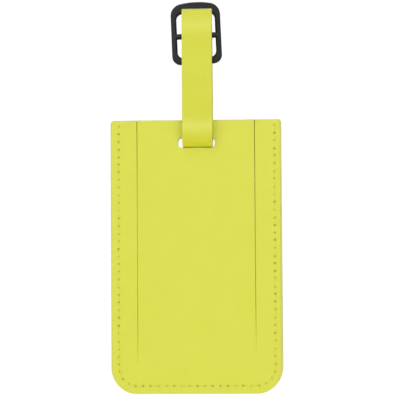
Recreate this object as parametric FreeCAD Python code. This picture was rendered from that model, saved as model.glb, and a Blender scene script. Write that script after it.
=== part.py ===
"""A luggage tag: a sewn imitation leather sleeve with a front flap, hung on a buckled strap.

Millimetres. +Z is up, and the front of the tag faces -Y. The origin is the centre of the handle loop, the
space between the strap's two legs where a bag's handle goes. The tag hangs straight down from it.
"""

import FreeCAD
import Part
import math
import os

Vector = FreeCAD.Vector

# ---- Tag: outline ----
TAG_WIDTH = 69.0
TAG_HEIGHT = 110.0
TAG_TOP = -8.5  # height of the tag's top edge, below the middle of the handle loop
TAG_BOTTOM = TAG_TOP - TAG_HEIGHT
TOP_RADIUS = 1.2
BOTTOM_RADIUS = 10.5

# ---- Tag: layers, from the front to the back ----
SHEET = 0.9  # one sheet of imitation leather
WINDOW = 0.2
CARD = 0.3
CARD_PLAY = 0.1  # air on each side of the card
LINING = 0.25
BOARD = 0.5
FRONT_Y = -(2 * SHEET + WINDOW + CARD + 2 * CARD_PLAY + LINING + BOARD) / 2
WINDOW_Y = FRONT_Y + SHEET
POCKET_Y = WINDOW_Y + WINDOW
CARD_Y = POCKET_Y + CARD_PLAY
LINING_Y = CARD_Y + CARD + CARD_PLAY
BOARD_Y = LINING_Y + LINING
BACK_COVER_Y = BOARD_Y + BOARD
BACK_Y = BACK_COVER_Y + SHEET

# ---- Tag: flap, pocket and seam ----
FLAP_WIDTH = 47.4  # from the middle of one slit to the middle of the other
SLIT = 0.15
FLAP_PLAY = 0.1  # air between the flap and the window behind it
HINGE_ABOVE_BOTTOM = 12.5  # where the slits stop and the flap bends
SEAM_INSET = 3.1  # from the raw edge to the line of stitches
SEAM_MARGIN = 4.6  # width of the sewn margin that holds the layers together
SEAM_TOP_GAP = 2.5  # from the top edge to the first stitch
STITCH_PITCH = 3.1
STITCH_LENGTH = 2.4
STITCH_RADIUS = 0.18
LAYER_SETBACK = 0.3  # how far the hidden layers stop short of the raw edge
POCKET_TOP_GAP = 16.5  # from the tag's top edge to the window's and the card's top
CARD_SIDE_PLAY = 0.9
CARD_HEIGHT = 86.0
CARD_RADIUS = 2.0

# ---- Strap slot, through every layer that reaches that high ----
SLOT_X = 0.3
SLOT_LENGTH = 14.9
SLOT_HEIGHT = 4.2
SLOT_RADIUS = 1.5
SLOT_BELOW_TOP = 9.2

# ---- Strap ----
STRAP_X = 0.8
STRAP_WIDTH = 12.1
STRAP_THICKNESS = 1.25
BEND_RADIUS = 5.475  # middle of the strap where it goes through the slot
BEND_Z = TAG_TOP - 5.0
TAIL_RADIUS = 4.0

# ---- Buckle ----
BUCKLE_X = 0.45
BUCKLE_Z = 25.7  # middle of the centre bar
BUCKLE_TILT = 9.0  # degrees that its top leans back
BUCKLE_TURN = 2.5  # degrees that it is turned in the plane of the tag
BUCKLE_WIDTH = 20.15
BUCKLE_ABOVE = 14.3  # from the centre bar to the crown of the top bar
BUCKLE_BELOW = 11.9
BUCKLE_CROWN = 1.2  # how much the top bar is arched
BUCKLE_TOP_RADIUS = 5.0
BUCKLE_LOW_RADIUS = 3.6
BUCKLE_THICKNESS = 2.1
BUCKLE_EDGE = 0.85  # rounding of the moulded edges
SIDE_BAR = 2.3
CENTRE_BAR_RADIUS = 1.15
UPPER_WINDOW_TOP = 9.6
LOWER_WINDOW_BOTTOM = -9.25
WINDOW_RADIUS = 2.6


# ---- Outlines in the plane of the tag, given as (x, z) ----
def at(x, z, y=0.0):
    return Vector(x, y, z)


def rounded_wire(corners):
    """A closed wire through corners (x, z, radius), each rounded by an arc of its radius."""
    edges = []
    starts = []
    ends = []
    middles = []
    for i, (x, z, radius) in enumerate(corners):
        here = at(x, z)
        before = at(*corners[i - 1][:2])
        after = at(*corners[(i + 1) % len(corners)][:2])
        back = (before - here).normalize()
        on = (after - here).normalize()
        half = back.getAngle(on) / 2
        reach = radius / math.tan(half)
        starts.append(here + back * reach)
        ends.append(here + on * reach)
        bisector = (back + on).normalize()
        middles.append(here + bisector * (radius / math.sin(half) - radius))
    for i in range(len(corners)):
        if corners[i][2] > 0:
            edges.append(Part.Arc(starts[i], middles[i], ends[i]).toShape())
        nxt = (i + 1) % len(corners)
        if (starts[nxt] - ends[i]).Length > 1e-6:
            edges.append(Part.LineSegment(ends[i], starts[nxt]).toShape())
    return Part.Wire(Part.__sortEdges__(edges))


def plate(wire, front_y, back_y):
    face = Part.Face(wire)
    face.translate(Vector(0, front_y, 0))
    return face.extrude(Vector(0, back_y - front_y, 0))


def box(x0, x1, y0, y1, z0, z1):
    return Part.makeBox(x1 - x0, y1 - y0, z1 - z0, Vector(x0, y0, z0))


def tag_outline(inset=0.0):
    half = TAG_WIDTH / 2 - inset
    top = TAG_TOP - inset
    bottom = TAG_BOTTOM + inset
    top_radius = max(TOP_RADIUS - inset, 0.2)
    low_radius = BOTTOM_RADIUS - inset
    return rounded_wire(
        [
            (-half, top, top_radius),
            (half, top, top_radius),
            (half, bottom, low_radius),
            (-half, bottom, low_radius),
        ]
    )


def slot_cutter():
    """The strap slot, through the whole tag."""
    half = SLOT_LENGTH / 2
    middle = TAG_TOP - SLOT_BELOW_TOP
    corners = [
        (SLOT_X - half, middle + SLOT_HEIGHT / 2, SLOT_RADIUS),
        (SLOT_X + half, middle + SLOT_HEIGHT / 2, SLOT_RADIUS),
        (SLOT_X + half, middle - SLOT_HEIGHT / 2, SLOT_RADIUS),
        (SLOT_X - half, middle - SLOT_HEIGHT / 2, SLOT_RADIUS),
    ]
    return plate(rounded_wire(corners), FRONT_Y - 1, BACK_Y + 1)


# ---- Tag ----
def front_frame():
    """The front sheet without its flap: two side strips joined by the bottom band."""
    sheet = plate(tag_outline(), FRONT_Y, WINDOW_Y)
    half = (FLAP_WIDTH + SLIT) / 2
    hinge = TAG_BOTTOM + HINGE_ABOVE_BOTTOM
    return sheet.cut(box(-half, half, FRONT_Y - 1, WINDOW_Y + 1, hinge, TAG_TOP + 1))


def front_flap():
    """The tongue between the slits. The strap goes through its slot and holds it shut."""
    half = (FLAP_WIDTH - SLIT) / 2
    hinge = TAG_BOTTOM + HINGE_ABOVE_BOTTOM + SLIT
    flap = box(-half, half, FRONT_Y, WINDOW_Y - FLAP_PLAY, hinge, TAG_TOP)
    return flap.cut(slot_cutter())


def below_pocket_top(shape):
    """What is left of a layer that stops under the strap slot."""
    wide = TAG_WIDTH
    top = TAG_TOP - POCKET_TOP_GAP
    return shape.cut(box(-wide, wide, FRONT_Y - 1, BACK_Y + 1, top, TAG_TOP + 1))


def card_window():
    return below_pocket_top(plate(tag_outline(LAYER_SETBACK), WINDOW_Y, POCKET_Y))


def address_card():
    half = TAG_WIDTH / 2 - SEAM_MARGIN - CARD_SIDE_PLAY
    low = TAG_BOTTOM + SEAM_MARGIN + 0.2
    corners = [
        (-half, low + CARD_HEIGHT, CARD_RADIUS),
        (half, low + CARD_HEIGHT, CARD_RADIUS),
        (half, low, BOTTOM_RADIUS - SEAM_MARGIN),
        (-half, low, BOTTOM_RADIUS - SEAM_MARGIN),
    ]
    return plate(rounded_wire(corners), CARD_Y, CARD_Y + CARD)


def pocket_lining():
    """The sheet behind the card, with the thicker margin where all the layers are sewn together."""
    sheet = plate(tag_outline(LAYER_SETBACK), LINING_Y, BOARD_Y)
    margin = plate(tag_outline(LAYER_SETBACK), POCKET_Y, BACK_COVER_Y)
    margin = margin.cut(open_inside(POCKET_Y - 1, BACK_COVER_Y + 1))
    return sheet.fuse(margin).removeSplitter().cut(slot_cutter())


def open_inside(front_y, back_y):
    """The space inside the sewn margin, open at the top."""
    half = TAG_WIDTH / 2 - SEAM_MARGIN
    low = TAG_BOTTOM + SEAM_MARGIN
    radius = BOTTOM_RADIUS - SEAM_MARGIN
    corners = [
        (-half, TAG_TOP + 5, 0.5),
        (half, TAG_TOP + 5, 0.5),
        (half, low, radius),
        (-half, low, radius),
    ]
    return plate(rounded_wire(corners), front_y, back_y)


def stiffener_board():
    board = plate(tag_outline(1.0), BOARD_Y, BACK_COVER_Y)
    return board.common(open_inside(BOARD_Y - 1, BACK_COVER_Y + 1)).cut(slot_cutter())


def back_cover():
    return plate(tag_outline(), BACK_COVER_Y, BACK_Y).cut(slot_cutter())


def seam_places():
    """Each stitch of the seam as (x, z, direction in degrees), down the left side and up the right."""
    half = TAG_WIDTH / 2 - SEAM_INSET
    bottom = TAG_BOTTOM + SEAM_INSET
    radius = BOTTOM_RADIUS - SEAM_INSET
    side = TAG_TOP - SEAM_TOP_GAP - (bottom + radius)
    corner = radius * math.pi / 2
    base = 2 * (half - radius)
    whole = 2 * side + 2 * corner + base
    count = round(whole / STITCH_PITCH)
    places = []
    for i in range(count):
        along = (i + 0.5) * whole / count
        mirrored = along > whole / 2
        if mirrored:
            along = whole - along
        if along < side:
            x, z, direction = -half, TAG_TOP - SEAM_TOP_GAP - along, -90.0
        elif along < side + corner:
            turn = (along - side) / radius
            x = -half + radius * (1 - math.cos(turn))
            z = bottom + radius * (1 - math.sin(turn))
            direction = math.degrees(turn) - 90.0
        else:
            x, z, direction = -half + radius + along - side - corner, bottom, 0.0
        if mirrored:
            x, direction = -x, -direction
        places.append((x, z, direction))
    return places


def thread(middle, direction, length, radius):
    """One stitch: a round-ended length of thread."""
    direction = direction.normalize()
    start = middle - direction * (length / 2 - radius)
    bar = Part.makeCylinder(radius, length - 2 * radius, start, direction)
    for end in (start, middle + direction * (length / 2 - radius)):
        bar = bar.fuse(Part.makeSphere(radius, end))
    return bar


def seam_stitches(face_y, outward):
    """The stitches that lie on one face of the tag."""
    solids = []
    for x, z, direction in seam_places():
        turn = math.radians(direction)
        along = Vector(math.cos(turn), 0, math.sin(turn))
        middle = Vector(x, face_y + outward * STITCH_RADIUS, z)
        solids.append(thread(middle, along, STITCH_LENGTH, STITCH_RADIUS))
    return Part.makeCompound(solids)


# ---- Strap ----
# The strap's path in the (y, z) plane is that of a belt: it starts at a point, runs straight from one round
# bend to the next, and ends at a point. A bend is (y, z, radius, sense), where sense is 1 for a left turn
# and -1 for a right turn. The sewn end comes first, then the wrap round the buckle's centre bar, the back
# leg, the bend through the tag's slot, the front leg, the crown, and the tail that hangs behind.
WRAP_RADIUS = 2.13
HALF = STRAP_THICKNESS / 2
SEWN_END_Y = WRAP_RADIUS - STRAP_THICKNESS - 0.05
SEWN_END_Z = 9.5
CROWN_Y = -2.3
CROWN_Z = BUCKLE_Z + 8.7
CROWN_RADIUS = 1.325
DIP_RADIUS = 2.4  # where the tail dips back through the buckle's upper window
BENDS = [
    (SEWN_END_Y, SEWN_END_Z, 0.0, 1),
    (SEWN_END_Y - 3.0, BUCKLE_Z - 7.4, 3.0, 1),
    (0.0, BUCKLE_Z, WRAP_RADIUS, -1),
    (WRAP_RADIUS + 15.0, SEWN_END_Z - 0.5, 15.0, 1),
    (0.0, BEND_Z, BEND_RADIUS, -1),
    (CROWN_Y, CROWN_Z, CROWN_RADIUS, -1),
    (CROWN_Y + CROWN_RADIUS + DIP_RADIUS, CROWN_Z - 1.65, DIP_RADIUS, 1),
    (0.5, BUCKLE_Z + 1.0, 3.0, -1),
    (6.3, -5.0, 0.0, 1),
]


def in_side_view(y, z):
    return Vector(0, y, z)


def strap_runs():
    """The path as (kind, ...) pieces: a line has its two ends; an arc has its bend and two headings."""
    headings = []
    for (y1, z1, r1, s1), (y2, z2, r2, s2) in zip(BENDS, BENDS[1:]):
        apart = math.hypot(y2 - y1, z2 - z1)
        swing = s2 * r2 - s1 * r1
        run = math.sqrt(apart**2 - swing**2)
        headings.append(math.atan2(z2 - z1, y2 - y1) - math.atan2(swing, run))
    pieces = []
    for i, heading in enumerate(headings):
        pieces.append(("line", BENDS[i], BENDS[i + 1], heading))
        if i + 1 < len(headings):
            bend = BENDS[i + 1]
            turn = (headings[i + 1] - heading) % (2 * math.pi)
            if bend[3] < 0:
                turn -= 2 * math.pi
            pieces.append(("arc", bend, heading, turn))
    return pieces


def point_on(bend, heading, offset):
    """Where the strap's surface, offset to the left of its middle, is on a bend at a heading."""
    y, z, radius, sense = bend
    reach = sense * radius - offset
    return in_side_view(y + reach * math.sin(heading), z - reach * math.cos(heading))


def strap_side(offset):
    """The edges of the strap's surface that lies offset to the left of its middle."""
    edges = []
    for kind, first, second, last in strap_runs():
        if kind == "line":
            start = point_on(first, last, offset)
            end = point_on(second, last, offset)
            edges.append(Part.LineSegment(start, end).toShape())
        else:
            places = [point_on(first, second + last * share, offset) for share in (0, 0.5, 1)]
            edges.append(Part.Arc(*places).toShape())
    return edges


def strap_length():
    return sum(edge.Length for edge in strap_side(0.0))


def strap_ply(left, right):
    """The part of the strap between two offsets, over its whole width, with a rounded tail."""
    sides = strap_side(left) + strap_side(right)
    runs = strap_runs()
    for bend, heading in ((BENDS[0], runs[0][3]), (BENDS[-1], runs[-1][3])):
        ends = (point_on(bend, heading, left), point_on(bend, heading, right))
        sides.append(Part.LineSegment(*ends).toShape())
    face = Part.Face(Part.Wire(Part.__sortEdges__(sides)))
    low_x = STRAP_X - STRAP_WIDTH / 2
    face.translate(Vector(low_x, 0, 0))
    return face.extrude(Vector(STRAP_WIDTH, 0, 0)).cut(tail_corners())


def tail_corners():
    """What is cut away to round the two corners of the strap's free end."""
    half = STRAP_WIDTH / 2
    tail_y, tip = BENDS[-1][:2]
    near, far = tail_y - 1.1, tail_y + 1.1
    block = box(STRAP_X - half - 1, STRAP_X + half + 1, near, far, tip - 0.3, tip + TAIL_RADIUS)
    corners = [
        (STRAP_X - half, tip + 20, 1.0),
        (STRAP_X + half, tip + 20, 1.0),
        (STRAP_X + half, tip - 0.1, TAIL_RADIUS),
        (STRAP_X - half, tip - 0.1, TAIL_RADIUS),
    ]
    return block.cut(plate(rounded_wire(corners), near - 1, far + 1))


def strap_outer_ply():
    return strap_ply(0.0, HALF)


def strap_inner_ply():
    return strap_ply(-HALF, 0.0)


def strap_end_stitches():
    """Two rows of stitches that close the sewn end, on the end itself and on the back leg."""
    solids = []
    front = SEWN_END_Y - HALF - STITCH_RADIUS
    back = WRAP_RADIUS + HALF + STITCH_RADIUS
    for z in (SEWN_END_Z + 1.3, BUCKLE_Z - 7.8):
        for y in (front, back):
            for step in (-1, 0, 1):
                middle = Vector(STRAP_X + step * STITCH_PITCH, y, z)
                solids.append(thread(middle, Vector(1, 0, 0), STITCH_LENGTH, STITCH_RADIUS))
    return Part.makeCompound(solids)


# ---- Buckle ----
def buckle_outline():
    """The moulding's outer edge in its own plane: arched top, wide top corners, tighter low ones."""
    half = BUCKLE_WIDTH / 2
    shoulder = BUCKLE_ABOVE - BUCKLE_CROWN
    return rounded_wire(
        [
            (-half, shoulder, BUCKLE_TOP_RADIUS),
            (-half * 0.25, BUCKLE_ABOVE, 24.0),
            (half * 0.25, BUCKLE_ABOVE, 24.0),
            (half, shoulder, BUCKLE_TOP_RADIUS),
            (half, -BUCKLE_BELOW, BUCKLE_LOW_RADIUS),
            (-half, -BUCKLE_BELOW, BUCKLE_LOW_RADIUS),
        ]
    )


def buckle_frame():
    half = BUCKLE_THICKNESS / 2
    inner = BUCKLE_WIDTH / 2 - SIDE_BAR
    frame = plate(buckle_outline(), -half, half)
    opening = [
        (-inner, UPPER_WINDOW_TOP, WINDOW_RADIUS),
        (inner, UPPER_WINDOW_TOP, WINDOW_RADIUS),
        (inner, LOWER_WINDOW_BOTTOM, WINDOW_RADIUS),
        (-inner, LOWER_WINDOW_BOTTOM, WINDOW_RADIUS),
    ]
    frame = frame.cut(plate(rounded_wire(opening), -half - 1, half + 1))
    rims = [edge for edge in frame.Edges if abs(abs(edge.CenterOfMass.y) - half) < 0.01]
    frame = frame.makeFillet(BUCKLE_EDGE, rims)
    reach = inner + SIDE_BAR / 2
    bar = Part.makeCylinder(CENTRE_BAR_RADIUS, 2 * reach, Vector(-reach, 0, 0), Vector(1, 0, 0))
    frame = frame.fuse(bar).removeSplitter()
    frame.rotate(Vector(0, 0, 0), Vector(0, 1, 0), -BUCKLE_TURN)
    frame.rotate(Vector(0, 0, 0), Vector(1, 0, 0), -BUCKLE_TILT)
    frame.translate(Vector(BUCKLE_X, 0, BUCKLE_Z))
    return frame


NODES = {
    "front_frame": front_frame,
    "front_flap": front_flap,
    "card_window": card_window,
    "address_card": address_card,
    "pocket_lining": pocket_lining,
    "stiffener_board": stiffener_board,
    "back_cover": back_cover,
    "front_seam_stitches": lambda: seam_stitches(FRONT_Y, -1),
    "back_seam_stitches": lambda: seam_stitches(BACK_Y, 1),
    "strap_outer_ply": strap_outer_ply,
    "strap_inner_ply": strap_inner_ply,
    "strap_end_stitches": strap_end_stitches,
    "buckle_frame": buckle_frame,
}


def main():
    os.makedirs("parts", exist_ok=True)
    for name, make in NODES.items():
        shape = make()
        shape.exportStep("parts/" + name + ".step")
        print(name, len(shape.Solids), round(shape.Volume, 2), shape.isValid(), shape.BoundBox)
    print("strap length along its middle", round(strap_length(), 1))


main()
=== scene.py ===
import math

import bpy
import numpy as np
from mathutils import Matrix, Vector, geometry, noise


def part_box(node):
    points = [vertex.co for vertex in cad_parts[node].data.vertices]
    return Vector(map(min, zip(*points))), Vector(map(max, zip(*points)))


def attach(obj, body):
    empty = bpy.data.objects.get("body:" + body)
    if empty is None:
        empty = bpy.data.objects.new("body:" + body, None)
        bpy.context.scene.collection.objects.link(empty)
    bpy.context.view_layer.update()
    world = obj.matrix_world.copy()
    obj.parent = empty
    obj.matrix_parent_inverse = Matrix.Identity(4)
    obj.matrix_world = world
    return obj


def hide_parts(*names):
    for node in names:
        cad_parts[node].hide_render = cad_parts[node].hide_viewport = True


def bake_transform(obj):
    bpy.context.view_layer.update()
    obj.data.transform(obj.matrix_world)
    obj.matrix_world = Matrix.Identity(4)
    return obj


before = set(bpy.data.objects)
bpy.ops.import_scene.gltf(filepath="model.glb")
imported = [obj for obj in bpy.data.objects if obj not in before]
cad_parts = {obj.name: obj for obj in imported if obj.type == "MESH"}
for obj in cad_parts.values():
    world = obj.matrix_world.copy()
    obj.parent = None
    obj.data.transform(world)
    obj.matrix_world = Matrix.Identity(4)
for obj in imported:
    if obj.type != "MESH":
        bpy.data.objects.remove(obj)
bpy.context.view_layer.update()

# Lengths below are in millimetres until a mesh or a light is made.
METRE = 0.001


def mm_box(node):
    lo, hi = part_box(node)
    return np.array(lo) / METRE, np.array(hi) / METRE


TAG_LO, TAG_HI = mm_box("front_frame")
FLAP_LO, FLAP_HI = mm_box("front_flap")
BACK_LO, BACK_HI = mm_box("back_cover")
LINING_LO, LINING_HI = mm_box("pocket_lining")
BOARD_LO, _ = mm_box("stiffener_board")
STRAP_LO, STRAP_HI = mm_box("strap_outer_ply")

HALF_WIDTH = TAG_HI[0]
TAG_TOP = TAG_HI[2]
TAG_BOTTOM = TAG_LO[2]
TOP_RADIUS = 1.2
BOTTOM_RADIUS = 10.5
HINGE_Z = FLAP_LO[2] - 0.15
SLIT_X = FLAP_HI[0] + 0.075


def node_points(name):
    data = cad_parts[name].data
    co = np.zeros(len(data.vertices) * 3, np.float32)
    data.vertices.foreach_get("co", co)
    return co.reshape(-1, 3).astype(float) / METRE


def slot_bounds():
    co = node_points("front_flap")
    inside = (np.abs(co[:, 0]) < 12) & (co[:, 2] > TAG_TOP - 14) & (co[:, 2] < TAG_TOP - 2)
    co = co[inside]
    return co[:, 0].min(), co[:, 0].max(), co[:, 2].min(), co[:, 2].max()


SLOT = slot_bounds()


# ---- Outlines in the plane of the tag ----
def rounded_loop(corners, step):
    """Points along a closed outline whose corners are (x, z, radius)."""
    points = []
    count = len(corners)
    for i, (x, z, radius) in enumerate(corners):
        here = np.array([x, z], float)
        before = np.array(corners[i - 1][:2], float) - here
        after = np.array(corners[(i + 1) % count][:2], float) - here
        before /= np.linalg.norm(before)
        after /= np.linalg.norm(after)
        half = math.acos(float(np.clip(before @ after, -1, 1))) / 2
        reach = radius / math.tan(half)
        start, end = here + before * reach, here + after * reach
        if radius > 0:
            middle = here + (before + after) / np.linalg.norm(before + after) * radius / math.sin(half)
            a = math.atan2(*(start - middle)[::-1])
            b = math.atan2(*(end - middle)[::-1])
            turn = (b - a + math.pi) % (2 * math.pi) - math.pi
            parts = max(4, math.ceil(abs(turn) * radius / step))
            for k in range(parts + 1):
                angle = a + turn * k / parts
                points.append(middle + radius * np.array([math.cos(angle), math.sin(angle)]))
        else:
            points.append(here)
        nx, nz, nr = corners[(i + 1) % count]
        following = np.array([nx, nz], float)
        beyond = np.array(corners[(i + 2) % count][:2], float) - following
        beyond /= np.linalg.norm(beyond)
        back = (here - following) / np.linalg.norm(here - following)
        nhalf = math.acos(float(np.clip(back @ beyond, -1, 1))) / 2
        nstart = following + back * (nr / math.tan(nhalf))
        run = np.linalg.norm(nstart - end)
        parts = max(1, math.ceil(run / step))
        for k in range(1, parts):
            points.append(end + (nstart - end) * k / parts)
    kept = []
    for p in points:
        if not kept or np.linalg.norm(p - kept[-1]) > 0.01:
            kept.append(p)
    if np.linalg.norm(kept[0] - kept[-1]) < 0.01:
        kept.pop()
    return np.array(kept)


def inward(loop):
    """Unit normals of a closed loop, pointing into the area that it encloses."""
    ahead = np.roll(loop, -1, 0) - np.roll(loop, 1, 0)
    ahead /= np.linalg.norm(ahead, axis=1)[:, None]
    area = np.sum(loop[:, 0] * np.roll(loop[:, 1], -1) - np.roll(loop[:, 0], -1) * loop[:, 1])
    side = 1 if area > 0 else -1
    return np.c_[-ahead[:, 1], ahead[:, 0]] * side


def contains(loop, points):
    """Which points lie inside a closed loop."""
    inside = np.zeros(len(points), bool)
    x, z = points[:, 0], points[:, 1]
    for (x0, z0), (x1, z1) in zip(loop, np.roll(loop, -1, 0)):
        if z0 == z1:
            continue
        crossing = (z0 > z) != (z1 > z)
        inside ^= crossing & (x < (x1 - x0) * (z - z0) / (z1 - z0) + x0)
    return inside


def distance_to(points, starts, ends):
    """How far each point is from the nearest of a set of segments."""
    best = np.full(len(points), 1e9)
    for a, b in zip(starts, ends):
        along = b - a
        t = np.clip(((points - a) @ along) / max(along @ along, 1e-12), 0, 1)
        gap = points - a - t[:, None] * along
        best = np.minimum(best, np.sqrt((gap**2).sum(1)))
    return best


def segments(loop):
    return loop, np.roll(loop, -1, 0)


# ---- The seam: a line of stitches down the left side, round the bottom and up the right ----
SEAM_INSET = 3.1
SEAM_TOP_GAP = 2.5
STITCHES = 86


def seam_point(share):
    half = HALF_WIDTH - SEAM_INSET
    bottom = TAG_BOTTOM + SEAM_INSET
    radius = BOTTOM_RADIUS - SEAM_INSET
    side = TAG_TOP - SEAM_TOP_GAP - bottom - radius
    corner = radius * math.pi / 2
    whole = 2 * side + 2 * corner + 2 * (half - radius)
    along = share * whole
    mirrored = along > whole / 2
    if mirrored:
        along = whole - along
    if along < side:
        x, z = -half, TAG_TOP - SEAM_TOP_GAP - along
    elif along < side + corner:
        turn = (along - side) / radius
        x, z = -half + radius * (1 - math.cos(turn)), bottom + radius * (1 - math.sin(turn))
    else:
        x, z = -half + radius + along - side - corner, bottom
    drift = 0.35 * max(0.0, (z - TAG_BOTTOM) / (TAG_TOP - TAG_BOTTOM)) ** 1.5
    return np.array([(-x if mirrored else x) + drift, z])


def needle_holes(seed):
    """The needle's holes, each a little off its place, with how open each is."""
    draw = np.random.default_rng(seed)
    holes = []
    for i in range(STITCHES + 1):
        share = np.clip((i + draw.normal(0, 0.045)) / STITCHES, 0, 1)
        place = seam_point(share) + draw.normal(0, 0.05, 2)
        # Holes near the top are more open: deeper, and with more shade painted in them.
        strained = 0.45 * math.exp(-(((place[1] - TAG_TOP + 6.0) / 3.0) ** 2))
        holes.append((*place, draw.uniform(0.45, 0.95) + strained))
    return np.array(holes)


FRONT_HOLES = needle_holes(11)
BACK_HOLES = needle_holes(12)
SEAM_LINE = np.array([seam_point(i / 400) for i in range(401)])


# ---- Surfaces ----
def waviness(points, seed):
    """Slow, shallow unevenness of a sheet."""
    out = np.empty(len(points))
    for i, (x, z) in enumerate(points):
        slow = noise.noise(Vector((x / 26, z / 34, seed)))
        quick = noise.noise(Vector((x / 9, z / 11, seed + 5.0)))
        out[i] = 0.05 * slow + 0.008 * quick
    return out


def sewn_relief(points, holes):
    """How far the seam pulls a sheet's face in, and how strongly shade is painted on each point in a needle
    hole.
    """
    off = distance_to(points, SEAM_LINE[:-1], SEAM_LINE[1:])
    pull = 0.05 * np.exp(-((off / 0.55) ** 2)) + 0.13 * np.exp(-((off / 1.8) ** 2))
    painted_shade = np.zeros(len(points))
    for x, z, open_ in holes:
        near = np.abs(points - (x, z)).max(1) < 1.6
        gap2 = ((points[near] - (x, z)) ** 2).sum(1)
        pull[near] += open_ * (0.50 * np.exp(-((gap2 / 0.37**2) ** 1.5)) + 0.06 * np.exp(-gap2 / 0.8**2))
        # Painted shade: each needle hole is coloured darker, the more open it is the darker.
        painted_shade[near] = np.maximum(painted_shade[near], open_ * np.exp(-((gap2 / 0.43**2) ** 1.5)))
    return pull, painted_shade


def mesh_object(name, verts_mm, faces, materials, face_materials, attributes=None):
    mesh = bpy.data.meshes.new(name)
    mesh.from_pydata((np.asarray(verts_mm) * METRE).tolist(), [], [list(f) for f in faces])
    mesh.validate()
    for m in materials:
        mesh.materials.append(m)
    mesh.polygons.foreach_set("material_index", np.array(face_materials, np.int32))
    mesh.polygons.foreach_set("use_smooth", np.ones(len(mesh.polygons), bool))
    for key, values in (attributes or {}).items():
        layer = mesh.attributes.new(key, "FLOAT", "POINT")
        layer.data.foreach_set("value", np.asarray(values, np.float32))
    mesh.set_sharp_from_angle(angle=math.radians(50))
    mesh.update()
    obj = bpy.data.objects.new(name, mesh)
    bpy.context.scene.collection.objects.link(obj)
    return obj


def triangulated(loops, extra):
    """Triangles over the area inside the first loop and outside the others, with extra points in it."""
    points, edges = [], []
    for loop in loops:
        first = len(points)
        points += [tuple(p) for p in loop]
        edges += [(first + i, first + (i + 1) % len(loop)) for i in range(len(loop))]
    rims = len(points)
    points += [tuple(p) for p in extra]
    flat = [Vector((float(x), float(z))) for x, z in points]
    found = geometry.delaunay_2d_cdt(flat, edges, [], 0, 1e-5, True)
    out, tris, origin = found[0], found[2], found[3]
    out = np.array([tuple(p) for p in out])
    tris = np.array([tuple(t) for t in tris])
    middles = out[tris].mean(1)
    keep = contains(loops[0], middles)
    for hole in loops[1:]:
        keep &= ~contains(hole, middles)
    tris = tris[keep]
    flip = np.cross(out[tris[:, 1]] - out[tris[:, 0]], out[tris[:, 2]] - out[tris[:, 0]]) < 0
    tris[flip] = tris[flip][:, ::-1]
    place = {}
    for i, froms in enumerate(origin):
        for f in froms:
            if f < rims:
                place[f] = i
    return out, tris, [place[i] for i in range(rims)]


SHEET_SPACING = 2.2  # between the points of a sheet where nothing happens
EDGE_RADIUS = 0.22  # of a cut edge's rounding
RIM_STEPS = (0.04, 0.1, 0.18, 0.28, 0.45)
SEAM_STEPS = (-2.4, -1.6, -1.1, -0.75, -0.45, -0.2, 0, 0.2, 0.45, 0.75, 1.1, 1.6, 2.4, 3.2)
HOLE_RINGS = ((0.0, 1), (0.12, 6), (0.24, 9), (0.38, 12), (0.6, 12))


def sheet_points(loops, holes):
    """Where a sheet needs points: beside its edges, along the seam, in the needle holes, and all over."""
    extra = []
    for loop, sign in [(loops[0], 1)] + [(h, -1) for h in loops[1:]]:
        normal = inward(loop) * sign
        for d in RIM_STEPS:
            extra.append(loop + normal * d)
    if holes is not None:
        ahead = np.gradient(SEAM_LINE, axis=0)
        ahead /= np.linalg.norm(ahead, axis=1)[:, None]
        across = np.c_[-ahead[:, 1], ahead[:, 0]]
        for d in SEAM_STEPS:
            extra.append(SEAM_LINE + across * d)
        for x, z, _ in holes:
            for radius, parts in HOLE_RINGS:
                angles = np.arange(parts) * 2 * math.pi / parts + radius
                extra.append(np.c_[x + radius * np.cos(angles), z + radius * np.sin(angles)])
    lo, hi = loops[0].min(0), loops[0].max(0)
    half_step = SHEET_SPACING / 2
    xs = np.arange(lo[0] + half_step, hi[0], SHEET_SPACING)
    zs = np.arange(lo[1] + half_step, hi[1], SHEET_SPACING)
    grid = np.array([(x + (half_step if j % 2 else 0), z) for j, z in enumerate(zs) for x in xs])
    far = distance_to(grid, *segments(loops[0])) > 0.8
    for hole in loops[1:]:
        far &= distance_to(grid, *segments(hole)) > 0.8
    if holes is not None:
        far &= distance_to(grid, SEAM_LINE[:-1], SEAM_LINE[1:]) > 3.4
    extra.append(grid[far])
    extra = np.concatenate(extra)
    keep = contains(loops[0], extra)
    for hole in loops[1:]:
        keep &= ~contains(hole, extra)
    extra = extra[keep]
    clear = distance_to(extra, *segments(loops[0])) > 0.025
    for hole in loops[1:]:
        clear &= distance_to(extra, *segments(hole)) > 0.025
    return extra[clear]


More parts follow.
